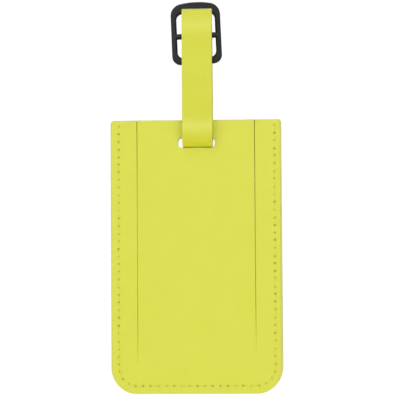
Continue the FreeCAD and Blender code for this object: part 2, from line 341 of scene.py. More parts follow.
def leather_sheet(name, loops, face_y, inner_y, holes, seed, joined, slant, materials):
    """A sheet of imitation leather with a sculpted face, rounded cut edges and raw walls.

    The face is at face_y and the hidden side at inner_y. joined(points) says which points of the
    outline are not cut, but go on in another sheet. slant(points) is how far the hidden side's
    outline is moved, as (dx, dz)."""
    outward = math.copysign(1, face_y - inner_y)
    extra = sheet_points(loops, holes)
    flat, tris, rim = triangulated(loops, extra)
    starts, ends = [], []
    for loop in loops:
        a, b = segments(loop)
        cut = ~(joined(a) & joined(b))
        starts.append(a[cut])
        ends.append(b[cut])
    to_cut = distance_to(flat, np.concatenate(starts), np.concatenate(ends))
    radius = np.full(len(flat), EDGE_RADIUS)
    has_hinge = joined(np.array([[0.0, HINGE_Z]]))[0]
    beside_slit = has_hinge & (np.abs(np.abs(flat[:, 0]) - SLIT_X) < 1.5)
    gap = np.where(flat[:, 0] > 0, slit_gap(flat[:, 1], 1), slit_gap(flat[:, 1], -1))
    radius[beside_slit] = np.clip(8.0 * gap[beside_slit] + 0.004, 0.004, 0.24)
    inside = np.clip(radius - to_cut, 0, radius)
    drop = radius - np.sqrt(np.maximum(radius**2 - inside**2, 0))
    pull, painted_shade = np.zeros(len(flat)), np.zeros(len(flat))
    if holes is not None:
        pull, painted_shade = sewn_relief(flat, holes)
    # Painted shade: olive along the slits' cut edges, stronger where the slit is open, for the shade inside
    # the slit.
    slit_shade = 0.9 * np.clip(gap / SLIT_GAP, 0, 1) * np.exp(-((to_cut / 0.17) ** 2))
    painted_shade[beside_slit] = np.maximum(painted_shade, slit_shade)[beside_slit]
    depth = np.maximum(drop, 0) + pull - waviness(flat, seed)
    limit = abs(face_y - inner_y) - 0.12
    depth = np.minimum(depth, limit)
    worn = np.exp(-((to_cut / 0.5) ** 2)) * np.where(beside_slit, 0.0, 1.0)
    verts = [(x, face_y - outward * d, z) for (x, z), d in zip(flat, depth)]
    faces, kinds = [], []
    for a, b, c in tris:
        faces.append((a, b, c) if outward < 0 else (a, c, b))
        kinds.append(0)
    painted_shades, worns = list(painted_shade), list(worn)
    # the hidden side: the same outline, moved by the slant, with few points inside
    base = len(verts)
    coarse = [loop + slant(loop) for loop in loops]
    hidden, htris, hrim = triangulated(coarse, np.zeros((0, 2)))
    verts += [(x, inner_y, z) for x, z in hidden]
    painted_shades += [0.0] * len(hidden)
    worns += [1.0] * len(hidden)
    for a, b, c in htris:
        faces.append((base + a, base + c, base + b) if outward < 0 else (base + a, base + b, base + c))
        kinds.append(1)
    first = 0
    for loop, is_hole in zip(loops, [False] + [True] * (len(loops) - 1)):
        count = len(loop)
        ccw = np.sum(loop[:, 0] * np.roll(loop[:, 1], -1) - np.roll(loop[:, 0], -1) * loop[:, 1]) > 0
        skin = len(verts)
        dyed = has_hinge & (np.abs(np.abs(loop[:, 0]) - SLIT_X) < 0.4)
        for k in range(count):
            i = rim[first + k]
            x0, y0, z0 = verts[i]
            x1, y1, z1 = verts[base + hrim[first + k]]
            share = min(0.16 / max(abs(y1 - y0), 0.2), 0.5)
            verts.append((x0 + (x1 - x0) * share, y0 + (y1 - y0) * share, z0 + (z1 - z0) * share))
            painted_shades.append(0.0)
            worns.append(1.0)
        flip = (ccw != is_hole) != (outward < 0)
        for k in range(count):
            n = (k + 1) % count
            a, b = rim[first + k], rim[first + n]
            c, d = skin + n, skin + k
            e, f = base + hrim[first + n], base + hrim[first + k]
            faces.append((a, b, c, d) if flip else (a, d, c, b))
            kinds.append(0)
            faces.append((d, c, e, f) if flip else (d, f, e, c))
            kinds.append(0 if dyed[k] and dyed[n] else 1)
        first += count
    return mesh_object(name, verts, faces, materials, kinds, {"painted_shade": painted_shades, "worn": worns})


# ---- Materials ----
def node_material(name):
    m = bpy.data.materials.new(name)
    m.use_nodes = True
    nodes, links = m.node_tree.nodes, m.node_tree.links
    nodes.clear()
    out = nodes.new("ShaderNodeOutputMaterial")
    shader = nodes.new("ShaderNodeBsdfPrincipled")
    links.new(shader.outputs[0], out.inputs["Surface"])
    return m, nodes, links, shader


def coordinates(nodes, links, scale=(1, 1, 1)):
    """The object's own coordinates, in metres, stretched by scale."""
    coord = nodes.new("ShaderNodeTexCoord")
    mapping = nodes.new("ShaderNodeMapping")
    mapping.inputs["Scale"].default_value = scale
    links.new(coord.outputs["Object"], mapping.inputs["Vector"])
    return mapping.outputs["Vector"]


def noise_node(nodes, links, vector, size_mm, detail=3.0, roughness=0.5):
    n = nodes.new("ShaderNodeTexNoise")
    n.inputs["Scale"].default_value = 1 / (size_mm * METRE)
    n.inputs["Detail"].default_value = detail
    n.inputs["Roughness"].default_value = roughness
    links.new(vector, n.inputs["Vector"])
    return n.outputs["Fac"]


def cells_node(nodes, links, vector, size_mm):
    n = nodes.new("ShaderNodeTexVoronoi")
    n.feature = "SMOOTH_F1"
    n.inputs["Scale"].default_value = 1 / (size_mm * METRE)
    links.new(vector, n.inputs["Vector"])
    return n.outputs["Distance"]


def ramp(nodes, links, value, low, high, to_low, to_high):
    """value from low..high mapped to to_low..to_high, clamped."""
    n = nodes.new("ShaderNodeMapRange")
    for socket, number in zip(("From Min", "From Max", "To Min", "To Max"), (low, high, to_low, to_high)):
        n.inputs[socket].default_value = number
    links.new(value, n.inputs["Value"])
    return n.outputs["Result"]


def mixed(nodes, links, factor, a, b):
    """A mix of two colours, each given as numbers or as another node's output."""
    n = nodes.new("ShaderNodeMix")
    n.data_type = "RGBA"
    links.new(factor, n.inputs["Factor"])
    for socket, value in ((n.inputs["A"], a), (n.inputs["B"], b)):
        if isinstance(value, tuple):
            socket.default_value = (*value, 1)
        else:
            links.new(value, socket)
    return n.outputs["Result"]


def summed(nodes, links, *terms):
    """The sum of (value, weight) terms."""
    total = None
    for value, weight in terms:
        n = nodes.new("ShaderNodeMath")
        n.operation = "MULTIPLY_ADD"
        links.new(value, n.inputs[0])
        n.inputs[1].default_value = weight
        if total is None:
            n.inputs[2].default_value = 0.0
        else:
            links.new(total, n.inputs[2])
        total = n.outputs[0]
    return total


def attribute(nodes, name):
    n = nodes.new("ShaderNodeAttribute")
    n.attribute_name = name
    return n.outputs["Fac"]


def bumped(nodes, links, shader, height, depth_mm):
    n = nodes.new("ShaderNodeBump")
    n.inputs["Distance"].default_value = depth_mm * METRE
    n.inputs["Strength"].default_value = 1.0
    links.new(height, n.inputs["Height"])
    links.new(n.outputs["Normal"], shader.inputs["Normal"])


LIME_DEEP = (0.702, 0.718, 0.040)
LIME_PALE = (0.724, 0.736, 0.048)
# The strap's lime is the tag's lime made about 6 % darker: painted shade that makes the strap's front strand
# darker than the tag's face.
STRAP_SHADED_DEEP = (0.662, 0.670, 0.018)
STRAP_SHADED_PALE = (0.686, 0.691, 0.026)
# A paler lime painted on the strap as highlight where its satin coat catches the light, and as light on its
# crown.
STRAP_PAINTED_HIGHLIGHT = (0.770, 0.795, 0.095)
# The olive painted as shade into needle holes and along the slits.
PAINTED_SHADE_OLIVE = (0.400, 0.395, 0.008)
RAW = (0.880, 0.880, 0.290)
RAW_DARK = (0.800, 0.800, 0.200)
WORN = (0.66, 0.66, 0.12)
THREAD_DEEP = (0.66, 0.68, 0.045)
THREAD_PALE = (0.76, 0.775, 0.07)
CHARCOAL_DEEP = (0.0052, 0.0055, 0.0062)
CHARCOAL_PALE = (0.0094, 0.0098, 0.0110)
CHARCOAL_RUBBED = (0.045, 0.046, 0.052)
FILM_TINT = (0.93, 0.95, 0.96)
FILM_CLEAR = (0.99, 0.99, 0.99)
PAPER_DEEP = (0.80, 0.79, 0.75)
PAPER_PALE = (0.89, 0.885, 0.86)
PAPER_INK = (0.36, 0.38, 0.40)
BOARD_DEEP = (0.25, 0.235, 0.20)
BOARD_PALE = (0.46, 0.44, 0.39)
LINING_DEEP = (0.56, 0.56, 0.22)
LINING_PALE = (0.74, 0.74, 0.34)
WHITE = (1, 1, 1, 1)

WRITING_LINE_SPACING = 9.0
YARN_SPACING = 0.35


def lime_leather(name, deep, pale, wear=0.25):
    """Smooth imitation leather: a fine pebbled grain, a satin coat, painted shade in needle holes and beside
    slits, worn edges.

    The piece's attributes say where shade is painted on it in olive, and where a highlight is painted on it
    in a paler colour."""
    m, nodes, links, shader = node_material(name)
    at = coordinates(nodes, links)
    pebble = cells_node(nodes, links, at, 0.55)
    fine = noise_node(nodes, links, at, 0.16, 2.0)
    cloud = noise_node(nodes, links, at, 9.0, 3.0)
    fleck = noise_node(nodes, links, at, 1.1, 4.0, 0.6)
    shade = summed(nodes, links, (cloud, 0.55), (fleck, 0.30), (fine, 0.15))
    colour = mixed(nodes, links, ramp(nodes, links, shade, 0.36, 0.64, 0, 1), deep, pale)
    worn = ramp(nodes, links, attribute(nodes, "worn"), 0, 1, 0, wear)
    colour = mixed(nodes, links, worn, colour, WORN)
    # Painted highlight: a paler colour where the piece's attribute says.
    colour = mixed(nodes, links, attribute(nodes, "painted_highlight"), colour, STRAP_PAINTED_HIGHLIGHT)
    # Painted shade: olive where the piece's attribute says, in needle holes and beside the slits.
    painted_shade = ramp(nodes, links, attribute(nodes, "painted_shade"), 0.04, 0.85, 0, 0.95)
    colour = mixed(nodes, links, painted_shade, colour, PAINTED_SHADE_OLIVE)
    links.new(colour, shader.inputs["Base Color"])
    gloss = summed(nodes, links, (pebble, 0.6), (fleck, 0.4))
    links.new(ramp(nodes, links, gloss, 0.1, 0.7, 0.42, 0.56), shader.inputs["Roughness"])
    shader.inputs["Specular IOR Level"].default_value = 0.45
    grain = summed(nodes, links, (pebble, 0.55), (fine, 0.30), (fleck, 0.25))
    bumped(nodes, links, shader, grain, 0.028)
    return m


def raw_edge(name):
    """The cut wall of imitation leather: a pale knitted backing, dry and fibrous."""
    m, nodes, links, shader = node_material(name)
    at = coordinates(nodes, links)
    fibre = noise_node(nodes, links, coordinates(nodes, links, (1, 2.4, 1)), 0.12, 4.0, 0.7)
    blotch = noise_node(nodes, links, at, 0.8, 3.0)
    shade = summed(nodes, links, (fibre, 0.6), (blotch, 0.4))
    colour = mixed(nodes, links, ramp(nodes, links, shade, 0.3, 0.7, 0, 1), RAW_DARK, RAW)
    links.new(colour, shader.inputs["Base Color"])
    links.new(ramp(nodes, links, fibre, 0.2, 0.8, 0.82, 0.97), shader.inputs["Roughness"])
    shader.inputs["Specular IOR Level"].default_value = 0.2
    bumped(nodes, links, shader, summed(nodes, links, (fibre, 0.8), (blotch, 0.2)), 0.06)
    return m


def thread_material():
    """Spun polyester, a shade deeper than the leather, with its filaments along the thread."""
    m, nodes, links, shader = node_material("seam_thread")
    at = coordinates(nodes, links)
    filament = noise_node(nodes, links, at, 0.05, 3.0, 0.6)
    slub = noise_node(nodes, links, at, 1.4, 2.0)
    shade = summed(nodes, links, (filament, 0.5), (slub, 0.5))
    colour = mixed(nodes, links, ramp(nodes, links, shade, 0.3, 0.7, 0, 1), THREAD_DEEP, THREAD_PALE)
    links.new(colour, shader.inputs["Base Color"])
    links.new(ramp(nodes, links, filament, 0.2, 0.8, 0.5, 0.7), shader.inputs["Roughness"])
    shader.inputs["Sheen Weight"].default_value = 0.2
    bumped(nodes, links, shader, filament, 0.03)
    return m


def plastic_material():
    """Moulded acetal in charcoal: an eroded-mould texture, faint flow marks and rubbed edges."""
    m, nodes, links, shader = node_material("buckle_plastic")
    at = coordinates(nodes, links)
    spark = noise_node(nodes, links, at, 0.11, 3.0, 0.65)
    flow = noise_node(nodes, links, coordinates(nodes, links, (1, 1, 0.25)), 2.6, 3.0)
    scuff = noise_node(nodes, links, coordinates(nodes, links, (1, 1, 0.12)), 0.35, 5.0, 0.7)
    shade = summed(nodes, links, (flow, 0.6), (spark, 0.4))
    base = mixed(nodes, links, ramp(nodes, links, shade, 0.3, 0.7, 0, 1), CHARCOAL_DEEP, CHARCOAL_PALE)
    geometry_node = nodes.new("ShaderNodeNewGeometry")
    rub = ramp(nodes, links, geometry_node.outputs["Pointiness"], 0.52, 0.60, 0, 0.35)
    links.new(mixed(nodes, links, rub, base, CHARCOAL_RUBBED), shader.inputs["Base Color"])
    gloss = summed(nodes, links, (scuff, 0.5), (spark, 0.5))
    links.new(ramp(nodes, links, gloss, 0.3, 0.7, 0.42, 0.58), shader.inputs["Roughness"])
    shader.inputs["Specular IOR Level"].default_value = 0.24
    bumped(nodes, links, shader, summed(nodes, links, (spark, 0.7), (flow, 0.3)), 0.02)
    return m


def film_material():
    """Clear PVC with faint ripples, hazier where it has been rubbed."""
    m, nodes, links, shader = node_material("window_film")
    at = coordinates(nodes, links)
    ripple = noise_node(nodes, links, at, 6.0, 2.0)
    haze = noise_node(nodes, links, at, 1.2, 4.0, 0.65)
    links.new(mixed(nodes, links, haze, FILM_TINT, FILM_CLEAR), shader.inputs["Base Color"])
    links.new(ramp(nodes, links, haze, 0.3, 0.75, 0.04, 0.16), shader.inputs["Roughness"])
    shader.inputs["Transmission Weight"].default_value = 1.0
    shader.inputs["IOR"].default_value = 1.5
    bumped(nodes, links, shader, summed(nodes, links, (ripple, 0.8), (haze, 0.2)), 0.05)
    return m


def paper_material():
    """Uncoated card with visible fibres and printed writing lines."""
    m, nodes, links, shader = node_material("card_paper")
    at = coordinates(nodes, links)
    fibre = noise_node(nodes, links, coordinates(nodes, links, (1, 1, 2.2)), 0.3, 5.0, 0.7)
    mottle = noise_node(nodes, links, at, 4.0, 3.0)
    shade = summed(nodes, links, (fibre, 0.55), (mottle, 0.45))
    paper = mixed(nodes, links, ramp(nodes, links, shade, 0.3, 0.7, 0, 1), PAPER_DEEP, PAPER_PALE)
    split = nodes.new("ShaderNodeSeparateXYZ")
    links.new(at, split.inputs[0])
    row = nodes.new("ShaderNodeMath")
    row.operation = "PINGPONG"
    row.inputs[1].default_value = WRITING_LINE_SPACING / 2 * METRE
    links.new(split.outputs["Z"], row.inputs[0])
    line = ramp(nodes, links, row.outputs[0], 0.00012, 0.00022, 0.55, 0.0)
    links.new(mixed(nodes, links, line, paper, PAPER_INK), shader.inputs["Base Color"])
    links.new(ramp(nodes, links, fibre, 0.2, 0.8, 0.75, 0.92), shader.inputs["Roughness"])
    bumped(nodes, links, shader, fibre, 0.03)
    return m


def board_material():
    """Grey pressed board, flecked with fibres."""
    m, nodes, links, shader = node_material("stiffener_greyboard")
    at = coordinates(nodes, links)
    fleck = noise_node(nodes, links, at, 0.25, 5.0, 0.75)
    mottle = noise_node(nodes, links, at, 2.5, 3.0)
    shade = summed(nodes, links, (fleck, 0.6), (mottle, 0.4))
    colour = mixed(nodes, links, ramp(nodes, links, shade, 0.3, 0.7, 0, 1), BOARD_DEEP, BOARD_PALE)
    links.new(colour, shader.inputs["Base Color"])
    links.new(ramp(nodes, links, fleck, 0.2, 0.8, 0.85, 0.97), shader.inputs["Roughness"])
    bumped(nodes, links, shader, fleck, 0.05)
    return m


def weave_material():
    """Plain-woven polyester lining."""
    m, nodes, links, shader = node_material("lining_weave")
    at = coordinates(nodes, links)
    split = nodes.new("ShaderNodeSeparateXYZ")
    links.new(at, split.inputs[0])
    waves = []
    for axis in ("X", "Z"):
        turn = nodes.new("ShaderNodeMath")
        turn.operation = "MULTIPLY"
        turn.inputs[1].default_value = math.pi / (YARN_SPACING * METRE)
        links.new(split.outputs[axis], turn.inputs[0])
        wave = nodes.new("ShaderNodeMath")
        wave.operation = "SINE"
        links.new(turn.outputs[0], wave.inputs[0])
        waves.append(wave.outputs[0])
    cross = nodes.new("ShaderNodeMath")
    cross.operation = "MULTIPLY"
    links.new(waves[0], cross.inputs[0])
    links.new(waves[1], cross.inputs[1])
    slub = noise_node(nodes, links, at, 0.5, 3.0)
    shade = summed(nodes, links, (cross.outputs[0], 0.35), (slub, 0.65))
    colour = mixed(nodes, links, ramp(nodes, links, shade, 0.0, 0.8, 0, 1), LINING_DEEP, LINING_PALE)
    links.new(colour, shader.inputs["Base Color"])
    links.new(ramp(nodes, links, slub, 0.2, 0.8, 0.7, 0.9), shader.inputs["Roughness"])
    shader.inputs["Sheen Weight"].default_value = 0.3
    bumped(nodes, links, shader, cross.outputs[0], 0.06)
    return m


LEATHER = lime_leather("lime_leather", LIME_DEEP, LIME_PALE)
# The strap's material: the tag's leather with darker colours as painted shade, and painted highlights from
# its attribute.
STRAP_SHADED_LEATHER = lime_leather("strap_leather", STRAP_SHADED_DEEP, STRAP_SHADED_PALE, 0.35)
RAW_EDGE = raw_edge("raw_leather_edge")
THREAD = thread_material()
PLASTIC = plastic_material()
FILM = film_material()
PAPER = paper_material()
BOARD = board_material()
WEAVE = weave_material()


# ---- The tag's leather ----
def bevel(points):
    """How the front face's outline is cut further in than its hidden side's, as (dx, dz).

    It is a slanting cut, widest on the right and towards the bottom."""
    low = np.clip((TAG_TOP - points[:, 1]) / (TAG_TOP - TAG_BOTTOM), 0, 1)
    out = np.zeros_like(points)
    right = np.clip((points[:, 0] - HALF_WIDTH + 9) / 9, 0, 1) ** 2
    left = np.clip((-points[:, 0] - HALF_WIDTH + 9) / 9, 0, 1) ** 2
    top = np.clip((points[:, 1] - TAG_TOP + 3) / 3, 0, 1)
    out[:, 0] = 0.28 * left - (0.50 + 0.40 * low) * right
    out[:, 1] = -0.26 * top
    return out


BEVEL_SHARE = 0.9  # of the bevel, that the hidden side's outline is moved back out
SLIT_GAP = 0.030
SLIT_HEIGHTS = (0.02, 0.06, 0.12, 0.24, 0.40, 0.58, 0.68, 0.82, 0.95, 1.0)
SLIT_LEFT = (0.12, 0.42, 0.58, 0.62, 0.52, 0.50, 0.58, 0.76, 0.9, 1.2)
SLIT_RIGHT = (0.0, 0.12, 0.40, 0.72, 0.76, 0.84, 0.90, 0.92, 0.98, 1.2)


def slit_gap(z, side):
    """Half the gap between the flap and the frame at a height: open at the top, closed at the hinge."""
    up = np.clip((z - HINGE_Z) / (TAG_TOP - HINGE_Z), 0, 1)
    return SLIT_GAP * np.interp(up, SLIT_HEIGHTS, SLIT_RIGHT if side > 0 else SLIT_LEFT)


def unbevelled(points):
    return -bevel(points) * BEVEL_SHARE


def with_slit(loop, outward):
    """The outline with its slit edges drawn apart: outward is 1 for the frame and -1 for the flap."""
    out = loop.copy()
    near = np.abs(np.abs(loop[:, 0]) - SLIT_X) < 0.35
    for side in (-1, 1):
        at = near & (loop[:, 0] * side > 0)
        out[at, 0] += side * outward * slit_gap(loop[at, 1], side)
    return out


def front_frame_piece():
    half, slit = HALF_WIDTH, SLIT_X
    loop = rounded_loop(
        [
            (-half, TAG_TOP - 0.12, TOP_RADIUS),
            (-slit, TAG_TOP - 0.12, 0.3),
            (-slit, HINGE_Z, 0.0),
            (slit, HINGE_Z, 0.0),
            (slit, TAG_TOP, 0.3),
            (half, TAG_TOP, TOP_RADIUS),
            (half, TAG_BOTTOM, BOTTOM_RADIUS),
            (-half, TAG_BOTTOM, BOTTOM_RADIUS),
        ],
        0.55,
    )
    loop = with_slit(loop, 1)
    loop += bevel(loop)
    piece = leather_sheet(
        "front_leather_frame",
        [loop],
        TAG_LO[1],
        TAG_HI[1],
        FRONT_HOLES,
        1.0,
        lambda p: (np.abs(p[:, 1] - HINGE_Z) < 1e-6) & (np.abs(p[:, 0]) < SLIT_X + 0.1),
        unbevelled,
        [LEATHER, RAW_EDGE],
    )
    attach(piece, "tag")
    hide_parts("front_frame")
    return piece


SLOT_RADIUS = 1.5
SLOT_LIFT = 0.14  # of the slot's lower edge, under the strap
SLOT_SAG = 0.18  # of its upper edge


def slot_loop():
    x0, x1, z0, z1 = SLOT
    corners = [(x0, z1), (x1, z1), (x1, z0), (x0, z0)]
    loop = rounded_loop([(x, z, SLOT_RADIUS) for x, z in corners], 0.3)
    middle_x, middle_z = (x0 + x1) / 2, (z0 + z1) / 2
    under = (loop[:, 1] < middle_z) * np.clip(1 - np.abs(loop[:, 0] - middle_x) / 6.5, 0, 1) ** 0.5
    loop[:, 1] += SLOT_LIFT * under
    loop[:, 1] -= SLOT_SAG * (loop[:, 1] > middle_z)
    return loop


def front_flap_piece():
    slit = SLIT_X
    loop = rounded_loop(
        [
            (-slit, TAG_TOP + 0.1, 0.3),
            (slit, TAG_TOP - 0.12, 0.3),
            (slit, HINGE_Z, 0.0),
            (-slit, HINGE_Z, 0.0),
        ],
        0.6,
    )
    loop = with_slit(loop, -1)
    loop += bevel(loop)
    piece = leather_sheet(
        "front_leather_flap",
        [loop, slot_loop()],
        FLAP_LO[1],
        FLAP_HI[1],
        None,
        1.0,
        lambda p: np.abs(p[:, 1] - HINGE_Z) < 1e-6,
        unbevelled,
        [LEATHER, RAW_EDGE],
    )
    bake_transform(piece)
    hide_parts("front_flap")
    return piece


def back_cover_piece():
    half = HALF_WIDTH
    loop = rounded_loop(
        [
            (-half + 0.15, TAG_TOP + 0.12, TOP_RADIUS),
            (half, TAG_TOP + 0.12, TOP_RADIUS),
            (half, TAG_BOTTOM + 0.15, BOTTOM_RADIUS),
            (-half + 0.15, TAG_BOTTOM + 0.15, BOTTOM_RADIUS),
        ],
        0.55,
    )
    piece = leather_sheet(
        "back_leather_cover",
        [loop, slot_loop()],
        BACK_HI[1],
        BACK_LO[1],
        BACK_HOLES,
        3.0,
        lambda p: np.zeros(len(p), bool),
        lambda p: np.zeros_like(p),
        [LEATHER, RAW_EDGE],
    )
    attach(piece, "tag")
    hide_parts("back_cover")
    return piece


# ---- Thread ----
THREAD_PLIES = 3
THREAD_LAY = 1.5  # along the thread, for one turn of its twist
THREAD_SIDES = 12


def thread_tube(path, radius, twist_from):
    """A twisted thread along path: vertices and faces of a closed tube with as many lobes as plies."""
    sides = THREAD_SIDES
    path = np.asarray(path, float)
    ahead = np.gradient(path, axis=0)
    ahead /= np.linalg.norm(ahead, axis=1)[:, None]
    verts, faces = [], []
    along = 0.0
    for i, (p, t) in enumerate(zip(path, ahead)):
        if i:
            along += np.linalg.norm(p - path[i - 1])
        side = np.cross(t, (0, 1, 0))
        if np.linalg.norm(side) < 1e-3:
            side = np.array((1.0, 0, 0))
        side /= np.linalg.norm(side)
        up = np.cross(side, t)
        turn = twist_from + along * 2 * math.pi / THREAD_LAY
        for k in range(sides):
            a = 2 * math.pi * k / sides
            r = radius * (0.90 + 0.10 * math.cos(THREAD_PLIES * (a - turn)))
            verts.append(p + r * (math.cos(a) * side + math.sin(a) * up))
    rings = len(path)
    for i in range(rings - 1):
        for k in range(sides):
            n = (k + 1) % sides
            faces.append((i * sides + k, i * sides + n, (i + 1) * sides + n, (i + 1) * sides + k))
    faces.append(tuple(range(sides))[::-1])
    faces.append(tuple((rings - 1) * sides + k for k in range(sides)))
    return verts, faces


def stitch_path(a, b, face_y, outward, dip, rise, sink):
    """From one needle hole to the next: out of the leather, over it and back in. a and b are (x, z)."""
    points = []
    for s in np.linspace(0.05, 0.95, 17):
        x, z = a + (b - a) * s
        arch = min(1.0, math.sin(math.pi * s) * 2.2) ** 1.3
        points.append((x, face_y + outward * (-dip - sink * (1 - arch) + rise * arch), z))
    return points


def thread_piece(name, paths, radius, node, body):
    verts, faces = [], []
    for n, path in enumerate(paths):
        v, f = thread_tube(path, radius, n * 1.7)
        base = len(verts)
        verts += v
        faces += [tuple(base + i for i in face) for face in f]
    piece = mesh_object(name, verts, faces, [THREAD], [0] * len(faces))
    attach(piece, body)
    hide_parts(node)
    return piece


def seam_piece(name, holes, face_y, outward, node):
    paths = []
    for (x0, z0, _), (x1, z1, _) in zip(holes, holes[1:]):
        paths.append(stitch_path(np.array((x0, z0)), np.array((x1, z1)), face_y, outward, 0.18, -0.03, 0.5))
    return thread_piece(name, paths, 0.14, node, "tag")


# ---- Strap ----
# The strap's middle, in side view, is a belt: (y, z, radius, sense) bends with straight runs between them.
STRAP_HALF = 0.625
BAR_Z = 25.7
WRAP_RADIUS = 2.13
CROWN_Z = BAR_Z + 8.7
BENDS = [
    (0.83, 9.5, 0.0, 1),
    (-2.17, BAR_Z - 7.4, 3.0, 1),
    (0.0, BAR_Z, WRAP_RADIUS, -1),
    (WRAP_RADIUS + 15.0, 9.0, 15.0, 1),
    (0.0, TAG_TOP - 5.0, 5.475, -1),
    (-2.3, CROWN_Z, 1.325, -1),
    (1.425, CROWN_Z - 1.65, 2.4, 1),
    (0.5, BAR_Z + 1.0, 3.0, -1),
    (6.3, -5.0, 0.0, 1),
]


def belt(step):
    """Points (y, z) along the strap's middle with the unit normals to its outer side."""
    headings = []
    for (y1, z1, r1, s1), (y2, z2, r2, s2) in zip(BENDS, BENDS[1:]):
        swing = s2 * r2 - s1 * r1
        run = math.sqrt((y2 - y1) ** 2 + (z2 - z1) ** 2 - swing**2)
        headings.append(math.atan2(z2 - z1, y2 - y1) - math.atan2(swing, run))

    def on(bend, heading):
        y, z, r, s = bend
        return np.array((y + s * r * math.sin(heading), z - s * r * math.cos(heading)))

    points, turns = [], []
    for i, heading in enumerate(headings):
        a, b = on(BENDS[i], heading), on(BENDS[i + 1], heading)
        parts = max(2, math.ceil(np.linalg.norm(b - a) / step))
        for k in range(parts):
            points.append(a + (b - a) * k / parts)
            turns.append(heading)
        if i + 1 < len(headings):
            bend = BENDS[i + 1]
            turn = (headings[i + 1] - heading) % (2 * math.pi)
            if bend[3] < 0:
                turn -= 2 * math.pi
            parts = max(3, math.ceil(abs(turn) * bend[2] / step), math.ceil(abs(turn) / 0.14))
            for k in range(parts):
                h = heading + turn * k / parts
                points.append(on(bend, h))
                turns.append(h)
        else:
            points.append(b)
            turns.append(heading)
    points, turns = np.array(points), np.array(turns)
    return points, np.c_[-np.sin(turns), np.cos(turns)]


def strap_painted_highlight(points):
    """How strongly a highlight is painted on the strap's coat as a paler colour, from 0 to 1, at set heights
    of its front strand and crown.
    """
    front = np.clip((-2.9 - points[:, 0]) / 0.6, 0, 1)
    below_crown = 0.58 * np.exp(-(((points[:, 1] - CROWN_Z + 5.2) / 3.2) ** 2))
    above_slot = 0.70 * np.exp(-(((points[:, 1] + 11.2) / 2.4) ** 2))
    middle = 0.16 * np.exp(-(((points[:, 1] - 13.5) / 5.0) ** 2))
    # Painted light on the crown's top, against the shade that the buckle's top bar casts there.
    crown = 0.9 * np.exp(-(((points[:, 1] - CROWN_Z - 1.5) / 0.8) ** 2)) * np.clip(-1.5 - points[:, 0], 0, 1)
    return np.clip(front * (below_crown + above_slot + middle) + crown, 0, 1)


def strap_bulge(points):
    """How far the front strand stands out: over the centre bar and above the slot, with a hollow between."""
    y, z = points[:, 0], points[:, 1]
    front = np.clip((-2.9 - y) / 0.6, 0, 1) * np.clip((CROWN_Z - 1.0 - z) / 3.0, 0, 1)
    over_bar = 0.80 * np.exp(-(((z - BAR_Z + 0.7) / 5.5) ** 2))
    hollow = -0.35 * np.exp(-(((z + 3.0) / 7.0) ** 2))
    above_slot = 0.38 * np.exp(-(((z + 13.6) / 3.0) ** 2))
    return front * (over_bar + hollow + above_slot)


def strap_ply_piece(name, node, inner, outer):
    """One ply of the strap: a ribbon between two offsets from the strap's middle, with rounded long edges."""
    points, normals = belt(0.7)
    bulge = strap_bulge(points)
    # How strongly the highlight is painted at each point along the strap.
    highlight_share = strap_painted_highlight(points)
    gone = np.r_[0, np.cumsum(np.linalg.norm(np.diff(points, axis=0), axis=1))]
    whole = gone[-1]
    middle = (STRAP_LO[0] + STRAP_HI[0]) / 2
    half = (STRAP_HI[0] - STRAP_LO[0]) / 2
    thick = outer - inner
    is_outer = abs(outer) > abs(inner)
    # the section, from the left edge over the visible side to the right edge and back along the hidden side
    edge = 0.2
    across = []
    for a in np.linspace(math.pi, math.pi / 2, 5):
        across.append((-half + edge + edge * math.cos(a), -edge + edge * math.sin(a), 0))
    for x in np.linspace(-half + 0.9, half - 0.9, 11):
        across.append((x, 0.0, 0))
    for a in np.linspace(math.pi / 2, 0, 5):
        across.append((half - edge + edge * math.cos(a), -edge + edge * math.sin(a), 0))
    across.append((half, -thick, 1))
    across.append((0.0, -thick, 1))
    across.append((-half, -thick, 1))
    sides = len(across)
    verts, worn, painted_highlight, faces, kinds = [], [], [], [], []
    tail = 4.0
    for i, (p, n) in enumerate(zip(points, normals)):
        to_end = whole - gone[i]
        narrow = 0.0
        if to_end < tail:
            narrow = tail - math.sqrt(max(tail**2 - (tail - to_end) ** 2, 0.0))
        narrow = min(narrow, half - 1.6)
        sway = 0.05 * noise.noise(Vector((gone[i] / 14, 3.1, 0)))
        for x, lift, kind in across:
            squeezed = x * (half - narrow) / half
            rise = lift if is_outer else -thick - lift
            ripple = 0.03 * noise.noise(Vector((squeezed / 5, gone[i] / 7, 1.7)))
            out = inner + thick + rise + bulge[i] + (ripple if kind == 0 else 0.0)
            verts.append((middle + squeezed + sway, p[0] + n[0] * out, p[1] + n[1] * out))
            worn.append(math.exp(-(((half - abs(x)) / 0.4) ** 2)))
            painted_highlight.append(highlight_share[i])
    rings = len(points)
    for i in range(rings - 1):
        for k in range(sides):
            m = (k + 1) % sides
            quad = (i * sides + k, (i + 1) * sides + k, (i + 1) * sides + m, i * sides + m)
            faces.append(quad if is_outer else quad[::-1])
            raw = across[k][2] == 1 or across[m][2] == 1
            kinds.append(1 if raw else 0)
    first = tuple(range(sides))
    last = tuple((rings - 1) * sides + k for k in range(sides))
    faces += [first, last[::-1]] if is_outer else [first[::-1], last]
    kinds += [1, 1]
    attributes = {"painted_shade": [0.0] * len(verts), "worn": worn, "painted_highlight": painted_highlight}
    piece = mesh_object(name, verts, faces, [STRAP_SHADED_LEATHER, RAW_EDGE], kinds, attributes)
    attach(piece, "strap")
    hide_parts(node)
    return piece


